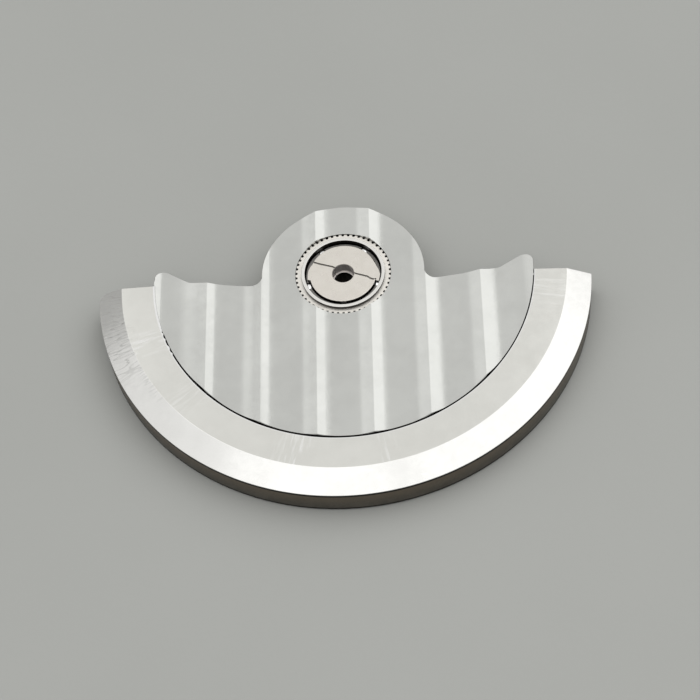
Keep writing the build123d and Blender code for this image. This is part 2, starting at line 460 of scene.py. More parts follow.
class Recipe:
    """The nodes of one finish, which reads its patterns from the place on the piece."""

    def __init__(self, name: str) -> None:
        """Starts a material with a bare metal shader.

        Args:
            name: the finish's name.
        """
        self.material = bpy.data.materials.new(name)
        self.material.use_nodes = True
        self.tree = self.material.node_tree
        self.tree.nodes.clear()
        self.shader = self.tree.nodes.new("ShaderNodeBsdfPrincipled")
        self.shader.inputs["Metallic"].default_value = 1.0
        output = self.tree.nodes.new("ShaderNodeOutputMaterial")
        self.tree.links.new(self.shader.outputs["BSDF"], output.inputs["Surface"])
        coordinates = self.tree.nodes.new("ShaderNodeTexCoord")
        scaled = self.tree.nodes.new("ShaderNodeVectorMath")
        scaled.operation = "MULTIPLY"
        scaled.inputs[1].default_value = (1 / MM, 1 / MM, 1 / MM)
        self.feed(scaled.inputs[0], coordinates.outputs["Object"])
        self.place = scaled.outputs[0]
        split = self.tree.nodes.new("ShaderNodeSeparateXYZ")
        self.tree.links.new(self.place, split.inputs["Vector"])
        self.x, self.y, self.z = (split.outputs[axis] for axis in "XYZ")

    def feed(self, socket: bpy.types.NodeSocket, value: Input) -> None:
        """Links a socket, or sets its value.

        Args:
            socket: the socket.
            value: what it is linked to, or its value.
        """
        if isinstance(value, bpy.types.NodeSocket):
            self.tree.links.new(value, socket)
        else:
            socket.default_value = value

    def result_of(self, operation: str, first: Input, second: Input = 0.0, third: Input = 0.0,
               clamp: bool = False) -> bpy.types.NodeSocket:
        """One step of arithmetic.

        Args:
            operation: the name of the operation.
            first: the first number.
            second: the second number.
            third: the third number, where the operation has one.
            clamp: True to keep the result between 0 and 1.

        Returns:
            The result.
        """
        node = self.tree.nodes.new("ShaderNodeMath")
        node.operation = operation
        node.use_clamp = clamp
        for socket, value in zip(node.inputs, (first, second, third)):
            self.feed(socket, value)
        return node.outputs[0]

    def times(self, first: Input, second: Input) -> bpy.types.NodeSocket:
        """Two numbers multiplied."""
        return self.result_of("MULTIPLY", first, second)

    def combined(self, x: Input, y: Input, z: Input = 0.0) -> bpy.types.NodeSocket:
        """A place from three numbers.

        Args:
            x: the first number.
            y: the second number.
            z: the third number.

        Returns:
            The place.
        """
        node = self.tree.nodes.new("ShaderNodeCombineXYZ")
        for socket, value in zip(node.inputs, (x, y, z)):
            self.feed(socket, value)
        return node.outputs[0]

    @cached_property
    def radius(self) -> bpy.types.NodeSocket:
        """Distance from the bearing's axis."""
        square = self.result_of("MULTIPLY_ADD", self.x, self.x, self.times(self.y, self.y))
        return self.result_of("SQRT", square)

    @cached_property
    def angle(self) -> bpy.types.NodeSocket:
        """Angle from +X, in radians."""
        return self.result_of("ARCTAN2", self.y, self.x)

    def noise(self, place: bpy.types.NodeSocket, scale: float, detail: float = 2.0,
              rough: float = 0.5) -> bpy.types.NodeSocket:
        """Soft random shades.

        Args:
            place: where the pattern is read.
            scale: spots in a millimetre.
            detail: number of finer layers.
            rough: weight of the finer layers.

        Returns:
            A number from 0 to 1, about a half.
        """
        node = self.tree.nodes.new("ShaderNodeTexNoise")
        self.feed(node.inputs["Vector"], place)
        node.inputs["Scale"].default_value = scale
        node.inputs["Detail"].default_value = detail
        node.inputs["Roughness"].default_value = rough
        return node.outputs["Fac"]

    def streaks(self, angle: Input, around: float, outward: float, seed: float = 0.0, scale: float = 3.0,
                detail: float = 2.0, rough: float = 0.5) -> bpy.types.NodeSocket:
        """Random streaks that run outward from the bearing's axis.

        Args:
            angle: the angle that they keep to, in radians.
            around: how close together they are.
            outward: how soon they change along their length.
            seed: a number that sets one pattern off from another.
            scale: multiplies all three.
            detail: number of finer layers.
            rough: weight of the finer layers.

        Returns:
            A number from 0 to 1, about a half.
        """
        place = self.combined(self.times(angle, around), self.times(self.radius, outward), seed)
        return self.noise(place, scale, detail, rough)

    def span(self, value: Input, low: float, high: float, start: float = 0.0,
             end: float = 1.0) -> bpy.types.NodeSocket:
        """A number moved from one span to another, smoothly and no further than its ends.

        Args:
            value: the number.
            low: the value that gives start.
            high: the value that gives end.
            start: the result at low.
            end: the result at high.

        Returns:
            The moved number.
        """
        node = self.tree.nodes.new("ShaderNodeMapRange")
        node.interpolation_type = "SMOOTHSTEP"
        for socket, number in zip(node.inputs, (value, low, high, start, end)):
            self.feed(socket, number)
        return node.outputs["Result"]

    def fade(self, value: Input, full: float, gone: float, strength: float = 1.0) -> bpy.types.NodeSocket:
        """A strength that holds up to one value and has faded out at the next."""
        return self.span(value, full, gone, strength, 0.0)

    def shades(self, factor: bpy.types.NodeSocket, dark: Shade, light: Shade) -> bpy.types.NodeSocket:
        """A colour between two.

        Args:
            factor: 0 for the dark colour to 1 for the light one.
            dark: the dark colour.
            light: the light colour.

        Returns:
            The colour.
        """
        node = self.tree.nodes.new("ShaderNodeMix")
        node.data_type = "RGBA"
        self.feed(node.inputs["Factor"], factor)
        for socket, colour in zip((node.inputs[6], node.inputs[7]), (dark, light)):
            self.feed(socket, (*colour, 1.0) if isinstance(colour, tuple) else colour)
        return node.outputs[2]

    def tint(self, factor: bpy.types.NodeSocket, colour: Colour) -> None:
        """Turns the metal's colour towards another, by a factor from 0 to 1."""
        socket = self.shader.inputs["Base Color"]
        self.feed(socket, self.shades(factor, socket.links[0].from_socket, colour))

    def relief(self, height: bpy.types.NodeSocket, depth: float) -> None:
        """Adds fine relief to the surface.

        Args:
            height: the pattern.
            depth: the height of the relief where the pattern goes from 0 to 1.
        """
        node = self.tree.nodes.new("ShaderNodeBump")
        self.feed(node.inputs["Height"], height)
        node.inputs["Distance"].default_value = depth * MM
        previous = self.shader.inputs["Normal"].links
        if previous:
            self.feed(node.inputs["Normal"], previous[0].from_socket)
        self.feed(self.shader.inputs["Normal"], node.outputs["Normal"])


@dataclass(frozen=True)
class Finish:
    """A finish: its name, the colours it runs between and how rough it is.

    Args:
        name: the material's name.
        dark: the darker colour.
        light: the lighter colour.
        smoothest: least roughness.
        roughest: most roughness.
    """

    name: str
    dark: Colour
    light: Colour
    smoothest: float
    roughest: float

    def base(self, patches: float = 0.6) -> Recipe:
        """The plain metal, a little uneven.

        Args:
            patches: patches of colour in a millimetre.

        Returns:
            The recipe, ready for more.
        """
        recipe = Recipe(self.name)
        low, high = 0.3, 0.7
        cloud = recipe.noise(recipe.place, scale=patches, detail=4.0, rough=0.6)
        recipe.feed(recipe.shader.inputs["Base Color"],
                    recipe.shades(recipe.span(cloud, low, high), self.dark, self.light))
        wear = recipe.noise(recipe.place, scale=patches * 6, detail=3.0, rough=0.6)
        recipe.feed(recipe.shader.inputs["Roughness"],
                    recipe.span(wear, low, high, self.smoothest, self.roughest))
        return recipe

    def mixed(self) -> bpy.types.Material:
        """The finished material."""
        return self.base().material


@dataclass(frozen=True)
class StripedPlating(Finish):
    """Bright satin plating over stripes whose abrasive left shallow bows across each one.

    Args:
        sag: how much a bow sags over a stripe, for each square millimetre.
        bow_depth: depth of the bows.
        grain_depth: depth of the grain between them.
    """

    sag: float = 0.16
    bow_depth: float = 0.0016
    grain_depth: float = 0.0016

    def mixed(self) -> bpy.types.Material:
        """Mixes the finish.

        Returns:
            The finished material.
        """
        recipe = self.base(patches=0.35)
        half = STRIPE_PITCH / 2
        across = recipe.result_of("PINGPONG", recipe.result_of("ADD", recipe.x, half), half)
        along = recipe.result_of("ADD", recipe.y, recipe.times(recipe.times(across, across), self.sag))
        bows = recipe.combined(recipe.times(recipe.x, 0.4), along)
        recipe.relief(recipe.noise(bows, scale=14.0, detail=3.0, rough=0.7), self.bow_depth)
        recipe.relief(recipe.noise(recipe.place, scale=22.0, rough=0.6), self.grain_depth)
        return recipe.material


@dataclass(frozen=True)
class CutMetal(Finish):
    """Heavy metal cut across its width: fine radial lines, with a rough stretch where the cutter shook.

    Args:
        line_depth: depth of the fine lines.
        chatter_depth: depth of the streaks in the rough stretch.
        chatter_lean: turn of the streaks, in radians, for each millimetre outward.
        chatter_wander: how far they stray, in radians.
        shaken_from: angle up to which the stretch is at its worst.
        shaken_to: angle where it has faded out, except along the cut's inner edge.
        calm_radius: radius where the streaks are faint.
        worst_radius: radius where they are at their worst.
        calm_share: share of them that is left where they are faint.
        tail: how far past the worst angle they have weakened, where that starts and the share left.
        inner_edge: radius of the cut's inner edge.
        edge_width: width of the streaks along that edge.
        crease_shade: how strongly painted shade darkens the creases between the streaks.
        crease_width: how wide they are, as a share of the pattern's height.
        crease_shade_colour: colour of the painted shade in the creases.
        edge_highlight: width of the painted highlight line along the inner edge, or 0 for none.
        scuffs: angle, width and strength of each scuffed spot.
        scuff_depth: depth of the strokes in the scuffed spots.
        scuff_rough: how much rougher the strokes are.
        scuff_and_highlight_colour: colour of the scuffed strokes and of the painted highlight line.
    """

    line_depth: float = 0.0009
    chatter_depth: float = 0.022
    chatter_lean: float = 0.015
    chatter_wander: float = 0.006
    shaken_from: float = -158.0
    shaken_to: float = -148.0
    calm_radius: float = 0.0
    worst_radius: float = 1.0
    calm_share: float = 0.15
    tail: tuple[float, float, float] = (0.26, 0.14, 0.4)
    inner_edge: float = SLOPE_RADIUS
    edge_width: float = 0.5
    crease_shade: float = 0.4
    crease_width: float = 0.032
    crease_shade_colour: Colour = (0.42, 0.42, 0.40)
    edge_highlight: float = 0.0
    scuffs: tuple[tuple[float, float, float], ...] = ()
    scuff_depth: float = 0.0012
    scuff_rough: float = 0.16
    scuff_and_highlight_colour: Colour = (0.93, 0.93, 0.92)

    def mixed(self) -> bpy.types.Material:
        """Mixes the finish.

        Returns:
            The finished material.
        """
        recipe = self.base(patches=0.45)
        lines = recipe.streaks(recipe.angle, around=60.0, outward=0.35, detail=3.0, rough=0.65)
        recipe.relief(lines, self.line_depth)
        self.chatter(recipe)
        # Painted highlight: a light line along the inner edge.
        if self.edge_highlight:
            line_end = self.inner_edge + self.edge_highlight
            recipe.tint(recipe.fade(recipe.radius, line_end, line_end + self.edge_highlight), self.scuff_and_highlight_colour)
        if self.scuffs:
            self.scuff(recipe)
        return recipe.material

    def chatter(self, recipe: Recipe) -> None:
        """Adds the streaks of the rough stretch, with painted shade in the creases between them.

        Args:
            recipe: the finish so far.
        """
        wander = recipe.noise(recipe.place, scale=0.9)
        leaning = recipe.result_of("MULTIPLY_ADD", wander, self.chatter_wander, recipe.angle)
        leaning = recipe.result_of("MULTIPLY_ADD", recipe.radius, self.chatter_lean, leaning)
        shaken = self.shaken(recipe)
        waves = recipe.streaks(leaning, around=26.0, outward=0.2, rough=0.6)
        recipe.relief(recipe.times(waves, shaken), self.chatter_depth)
        creases = recipe.streaks(leaning, around=17.0, outward=0.17, seed=4.0, detail=1.0)
        creases = recipe.result_of("ABSOLUTE", recipe.result_of("SUBTRACT", creases, 0.5))
        creases = recipe.times(recipe.fade(creases, 0.0, self.crease_width), shaken)
        recipe.relief(creases, -self.chatter_depth / 3)
        # Painted shade: darkens the creases between the streaks.
        recipe.tint(recipe.times(creases, self.crease_shade), self.crease_shade_colour)

    def shaken(self, recipe: Recipe) -> bpy.types.NodeSocket:
        """How badly the cutter shook at each place.

        Args:
            recipe: the finish so far.

        Returns:
            A number from 0 to 1.
        """
        angle, radius = recipe.angle, recipe.radius
        start, end = math.radians(self.shaken_from), math.radians(self.shaken_to)
        beside = recipe.times(recipe.fade(angle, end, 2 * end - start),
                              recipe.fade(radius, self.inner_edge, self.inner_edge + self.edge_width))
        along = recipe.result_of("MAXIMUM", recipe.fade(angle, start, end), beside)
        weak, weakening, left = self.tail
        along = recipe.times(along, recipe.span(angle, start - weak, start - weakening, left))
        return recipe.times(along, recipe.span(radius, self.calm_radius, self.worst_radius, self.calm_share))

    def scuff(self, recipe: Recipe) -> None:
        """Roughens and lightens the metal along a few soft strokes in each scuffed spot.

        Args:
            recipe: the finish so far.
        """
        strokes = recipe.streaks(recipe.angle, around=30.0, outward=0.35, scale=2.0)
        mask: Input = 0.0
        for place, width, strength in self.scuffs:
            away = recipe.result_of("SUBTRACT", recipe.angle, math.radians(place))
            away = recipe.result_of("ABSOLUTE", away)
            mask = recipe.result_of("ADD", mask, recipe.fade(away, 0.0, math.radians(width), strength))
        mask = recipe.times(mask, recipe.span(strokes, 0.47, 0.66))
        recipe.relief(mask, self.scuff_depth)
        rough = recipe.shader.inputs["Roughness"]
        wear = rough.links[0].from_socket
        recipe.feed(rough, recipe.result_of("MULTIPLY_ADD", mask, self.scuff_rough, wear))
        recipe.tint(mask, self.scuff_and_highlight_colour)


@dataclass(frozen=True)
class LatheTurned(Finish):
    """Metal with the fine rings that a lathe leaves round the bearing's axis.

    Args:
        rings: rings in a millimetre, across the surface or up a wall.
        ring_depth: depth of the rings.
        grain_depth: depth of the grain between them.
    """

    rings: float = 18.0
    ring_depth: float = 0.0008
    grain_depth: float = 0.0006

    def ringed(self) -> Recipe:
        """The metal with its rings.

        Returns:
            The recipe, ready for more.
        """
        recipe = self.base(patches=1.4)
        lines = recipe.noise(recipe.combined(recipe.radius, recipe.z), scale=self.rings, rough=0.6)
        recipe.relief(lines, self.ring_depth)
        recipe.relief(recipe.noise(recipe.place, scale=30.0, rough=0.6), self.grain_depth)
        return recipe

    def mixed(self) -> bpy.types.Material:
        """The finished material."""
        return self.ringed().material


@dataclass(frozen=True)
class TurnedWall(LatheTurned):
    """A turned wall with painted light: a tint that grows towards its top, and another colour along both
    edges.

    Args:
        bottom: height of its lower edge.
        top: height of its upper edge.
        edge: width of the line along both edges.
        painted_top_tint: the colour it turns towards near the top, painted light.
        edge_colour: its colour at both edges.
    """

    bottom: float = -0.18
    top: float = 1.15
    edge: float = 0.14
    painted_top_tint: Colour = (0.20, 0.165, 0.125)
    edge_colour: Colour = (0.018, 0.015, 0.012)

    def mixed(self) -> bpy.types.Material:
        """Mixes the finish.

        Returns:
            The finished material.
        """
        recipe = self.ringed()
        # Painted light: a tint towards the top, then a colour along both edges.
        recipe.tint(recipe.span(recipe.z, self.bottom, self.top), self.painted_top_tint)
        below = recipe.fade(recipe.z, self.bottom + self.edge / 2, self.bottom + self.edge)
        above = recipe.span(recipe.z, self.top - 1.3 * self.edge, self.top - self.edge)
        recipe.tint(recipe.result_of("ADD", below, above, clamp=True), self.edge_colour)
        return recipe.material


@dataclass(frozen=True)
class FloorPaper(Finish):
    """The plain pale sheet that the weight lies on."""

    def mixed(self) -> bpy.types.Material:
        """Mixes the finish.

        Returns:
            The finished material.
        """
        recipe = self.base(patches=0.02)
        recipe.shader.inputs["Metallic"].default_value = 0.0
        recipe.relief(recipe.noise(recipe.place, scale=2.0, detail=3.0, rough=0.6), depth=0.01)
        return recipe.material


# The land carries a painted highlight along its inner edge.
LAND = CutMetal("land_cut", (0.775, 0.77, 0.73), (0.815, 0.81, 0.77), 0.15, 0.22, chatter_depth=0.006,
                calm_radius=10.3, worst_radius=11.3, inner_edge=SEAM_RADIUS, crease_shade=0.0, edge_highlight=0.035,
                scuffs=((-159.0, 6.0, 0.6), (-138.0, 6.0, 0.3), (-103.5, 7.0, 0.65), (-79.0, 4.0, 0.35),
                        (-9.0, 7.0, 0.35)))
SLOPE = CutMetal("slope_cut", (0.80, 0.795, 0.775), (0.85, 0.845, 0.825), 0.20, 0.26, line_depth=0.0004,
                 chatter_depth=0.006)
# The outer wall's dark colour is partly its own and partly a painted reflection of a dark floor. Its brown
# tint towards the top is a painted reflection, and the dark lines along both edges are painted shade. The
# same dark edge colour fills the plate's step as painted shade in the seam.
WALL = TurnedWall("wall_painted_reflection", (0.125, 0.115, 0.10), (0.175, 0.16, 0.14), 0.34, 0.46, rings=9.0)
FOOT = LatheTurned("foot_turned", (0.46, 0.45, 0.43), (0.50, 0.49, 0.47), 0.28, 0.36, rings=9.0,
                   ring_depth=0.004)
PLATING = StripedPlating("plate_plated", (0.60, 0.605, 0.583), (0.65, 0.655, 0.632), 0.13, 0.19)
# Painted shade: the plate's edge inside the open seam.
SEAM_SHADE = LatheTurned("seam_painted_shade", (0.02, 0.018, 0.016), (0.04, 0.036, 0.032), 0.34, 0.46)
# The plate's bore wall: partly bare metal, mostly painted shade, with the plating's own colour at its mouth.
BORE_SHADE = TurnedWall("bore_painted_shade", (0.05, 0.045, 0.04), (0.09, 0.085, 0.075), 0.34, 0.46, bottom=-1.0, top=1.59,
                  edge=0.04, painted_top_tint=(0.07, 0.065, 0.055), edge_colour=(0.62, 0.62, 0.61))
FLANGE = LatheTurned("flange_matt", (0.82, 0.79, 0.74), (0.92, 0.89, 0.83), 0.34, 0.44)
LIP = LatheTurned("lip_polished", (0.88, 0.865, 0.83), (0.93, 0.915, 0.88), 0.10, 0.16, ring_depth=0.0002)
# Painted shade: inside the race, on the lip's outer wall and in the knurl's valleys.
RACE_SHADE = LatheTurned("race_painted_shade", (0.02, 0.018, 0.016), (0.04, 0.036, 0.032), 0.3, 0.4)
CORE_TOP = LatheTurned("core_polished", (0.78, 0.74, 0.68), (0.82, 0.78, 0.72), 0.27, 0.33, ring_depth=0.0002,
                       grain_depth=0.0)
# Painted shade: the core's walls, the crack and the hole.
CORE_SHADE = LatheTurned("core_painted_shade", (0.02, 0.018, 0.016), (0.05, 0.046, 0.042), 0.3, 0.4)
RECESS = LatheTurned("recess_turned", (0.74, 0.71, 0.69), (0.86, 0.83, 0.81), 0.46, 0.58, rings=7.0,
                     ring_depth=0.008)
BALL = Finish("ball_polished", (0.92, 0.92, 0.91), (0.96, 0.96, 0.95), 0.10, 0.14)
# The cage's dark grey is partly painted shade of the deep gap it sits in.
CAGE = LatheTurned("cage_dull_painted_shade", (0.28, 0.27, 0.255), (0.35, 0.34, 0.325), 0.55, 0.68)
BRASS = LatheTurned("brass_cut", (0.70, 0.50, 0.22), (0.82, 0.62, 0.32), 0.24, 0.34)
RIVET = LatheTurned("rivet_faced", (0.70, 0.69, 0.67), (0.80, 0.79, 0.77), 0.22, 0.30)
PAPER = FloorPaper("floor_paper", (0.44, 0.447, 0.427), (0.465, 0.472, 0.452), 0.8, 0.9)


def dress(piece: bpy.types.Object, main: Finish,
          others: Sequence[tuple[Finish, FaceTest]] = ()) -> None:
    """Gives a piece its finishes.

    Args:
        piece: the piece.
        main: the finish all over.
        others: more finishes, each with the test of a face's middle and normal that picks its faces.
    """
    for finish in (main, *(finish for finish, _ in others)):
        piece.data.materials.append(bpy.data.materials.get(finish.name) or finish.mixed())
    for number, (_, test) in enumerate(others, start=1):
        for face in piece.data.polygons:
            if test(face.center / MM, face.normal):
                face.material_index = number


def seat(piece: bpy.types.Object, body: str, *nodes: str) -> None:
    """Lets a piece ride on its body and stand for its nodes, and reports it.

    Args:
        piece: the piece.
        body: the body's name.
        nodes: the names of the nodes.
    """
    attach(piece, body)
    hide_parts(*nodes)
    LOG.info("%s: %d faces, rides on %s, stands for %s", piece.name, len(piece.data.polygons),
             body, ", ".join(nodes))


@dataclass
class Rivets:
    """Five rivets with countersunk heads, flush with the ledge's underside."""

    count: int = 5
    orbit: float = 9.0425
    first_angle: float = -160.16
    step_angle: float = 35.08
    head_radius: float = 0.38
    shank_radius: float = 0.24
    head_bottom: float = 0.50
    head_top: float = 0.68
    shank_top: float = 1.45
    dimple_radius: float = 0.12
    dimple_depth: float = 0.03
    dimple_round: float = 0.01
    steps: int = 40
    pieces: list[bpy.types.Object] = field(default_factory=list)

    def build(self) -> None:
        """Turns one rivet and copies it round the orbit."""
        corners = [
            Corner(0, self.head_bottom + self.dimple_depth),
            Corner(self.dimple_radius, self.head_bottom, self.dimple_round),
            Corner(self.head_radius, self.head_bottom),
            Corner(self.shank_radius, self.head_top),
            Corner(self.shank_radius, self.shank_top),
            Corner(0, self.shank_top),
        ]
        centre = polar(self.orbit, self.first_angle)
        first = turned("rivet_turned_1", corners, self.steps, centre=centre).take_off()
        smooth(first, sharp_angle=30.0)
        self.pieces.append(first)
        for number in range(1, self.count):
            self.pieces.append(copy_turned(first, f"rivet_turned_{number + 1}", number * self.step_angle))

    def sink_into(self, piece: bpy.types.Object) -> None:
        """Cuts the rivets' own holes into a piece."""
        for rivet in self.pieces:
            carve(piece, rivet, Carving.AWAY, keep_tool=True)

    def place(self) -> None:
        """Dresses and seats the rivets."""
        for number, piece in enumerate(self.pieces, start=1):
            dress(piece, RIVET)
            seat(piece, Body.WEIGHT.value, f"rivet_{number}")


@dataclass
class HeavySegment:
    """The half ring of heavy metal: flat land, sloping rim, dark outer wall and the plate's step."""

    outer_radius: float = 12.5
    land_outer_radius: float = SLOPE_RADIUS
    step_radius: float = SEAM_RADIUS
    ledge_inner_radius: float = 8.50
    foot_inner_radius: float = 10.2
    land_height: float = TOP_HEIGHT
    ledge_height: float = 1.20
    ledge_bottom: float = 0.50
    wall_height: float = 1.15
    foot_height: float = -0.30
    foot_chamfer: float = 0.12
    start_angle: float = -178.2
    span_angle: float = 175.9
    closed_angle: float = -161.5
    bridges: tuple[float, ...] = (-160.2, -158.1, -155.2, -152.7)
    bridge_width: float = 0.9
    bridge_reach: float = 0.05
    edge_round: float = 0.02
    end_round: float = 0.018
    worn_round: float = 0.5
    # Where finishes meet: the slope starts outside this radius, the step's wall is this wide, and
    # the foot's chamfer, whose normal points down by a little less than this, goes with the wall.
    slope_start: float = 11.18
    step_reach: float = 0.03
    foot_chamfer_normal: float = -0.75
    steps: int = 256

    def build(self, rivets: Rivets) -> None:
        """Turns the half ring and countersinks it for the rivets.

        Args:
            rivets: the rivets that it is countersunk for.
        """
        corners = [
            Corner(self.ledge_inner_radius, self.ledge_bottom, self.edge_round),
            Corner(self.ledge_inner_radius, self.ledge_height, self.edge_round),
            Corner(self.step_radius, self.ledge_height),
            Corner(self.step_radius, self.land_height, self.edge_round),
            Corner(self.land_outer_radius, self.land_height, self.edge_round),
            Corner(self.outer_radius, self.wall_height, self.edge_round),
            Corner(self.outer_radius, self.foot_height + self.foot_chamfer),
            Corner(self.outer_radius - self.foot_chamfer, self.foot_height),
            Corner(self.foot_inner_radius, self.foot_height, self.edge_round),
            Corner(self.foot_inner_radius, self.ledge_bottom),
        ]
        blank = turned("heavy_segment_cut", corners, self.steps, self.start_angle, self.span_angle)
        for end in (self.start_angle, self.start_angle + self.span_angle):
            outward = Vector(polar(1.0, end))
            across = Vector(polar(1.0, end + QUARTER_TURN))
            blank.pick(lambda x, y, z, outward=outward, across=across:
                       abs(across.dot((x, y, 0))) < NEAR and outward.dot((x, y, 0)) > 0)
            blank.round_edges(self.end_round, steps=2)
        blank.pick(self.at_burr)
        blank.shrink(1 - self.bridge_reach / self.step_radius)
        self.piece = blank.take_off()
        carve(self.piece, self.corner_tool(), Carving.AWAY)
        rivets.sink_into(self.piece)
        smooth(self.piece, sharp_angle=40.0)

    def at_burr(self, x: float, y: float, z: float) -> bool:
        """Whether a place is on the land's inner edge where a burr closes or bridges the seam.

        Args:
            x: the place's X.
            y: the place's Y.
            z: the place's height.

        Returns:
            True on a burr.
        """
        angle = angle_at(x, y)
        bridged = any(abs(angle - bridge) < self.bridge_width / 2 for bridge in self.bridges)
        at_edge = z > self.land_height - 0.1 and math.hypot(x, y) < self.step_radius + 0.05
        return y < 0 and at_edge and (bridged or angle < self.closed_angle)

    def corner_tool(self) -> bpy.types.Object:
        """What is worn off the outer corner of the left end, with some room round it.

        Returns:
            The solid to cut away.
        """
        room, slack = 1.0, 0.01
        orbit = self.outer_radius - self.worn_round
        angle = self.start_angle + math.degrees(math.asin(self.worn_round / orbit))
        centre = Vector(polar(orbit, angle, self.land_height + room))
        outward = Vector(polar(room, angle))
        back = Vector(polar(room, angle - QUARTER_TURN))
        blank = Blank("corner_tool", tuple(centre + back * (self.worn_round + slack)))
        blank.arc(QUARTER_TURN, steps=10, centre=tuple(centre))
        for place in (centre + outward, centre + outward + back, centre + back):
            blank.line_to(tuple(place))
        blank.fill()
        blank.raise_by(self.foot_height - self.land_height - 2 * room)
        return blank.take_off()

    def on_land(self, middle: Vector, normal: Vector) -> bool:
        """Whether a face is on the land."""
        return normal.z > LEVEL and middle.z > self.land_height - 0.01

    def on_slope(self, middle: Vector, normal: Vector) -> bool:
        """Whether a face is on the sloping rim."""
        on_rim = middle.xy.length > self.slope_start and middle.z > self.wall_height - 0.01
        return on_rim and TILTED < normal.z < FLAT

    def on_closed_seam(self, middle: Vector, normal: Vector) -> bool:
        """Whether a face is on the step where a burr closes the seam."""
        at_step = abs(middle.xy.length - self.step_radius) < self.step_reach and middle.z > self.ledge_height
        return at_step and angle_at(*middle.xy) < self.closed_angle

    def on_wall(self, middle: Vector, normal: Vector) -> bool:
        """Whether a face is on the outer wall, its foot chamfer or the plate's step, which are painted dark.

        Args:
            middle: the face's middle.
            normal: the face's normal.

        Returns:
            True on the walls painted dark.
        """
        outward = Vector((*middle.xy.normalized(), 0))
        if middle.xy.length > self.outer_radius - self.worn_round:
            return normal.z > self.foot_chamfer_normal and normal.dot(outward) > 0.2
        in_step = middle.xy.length < self.step_radius + self.step_reach
        in_step = in_step and middle.z > self.ledge_height - NEAR
        return in_step and abs(normal.cross(outward).z) < UPRIGHT

    def place(self) -> None:
        """Dresses the land, the slope and the walls apart, and seats the piece."""
        dress(self.piece, FOOT, [(WALL, self.on_wall), (LAND, self.on_land),
                                               (SLOPE, self.on_slope), (LAND, self.on_closed_seam)])
        seat(self.piece, Body.WEIGHT.value, "heavy_segment")


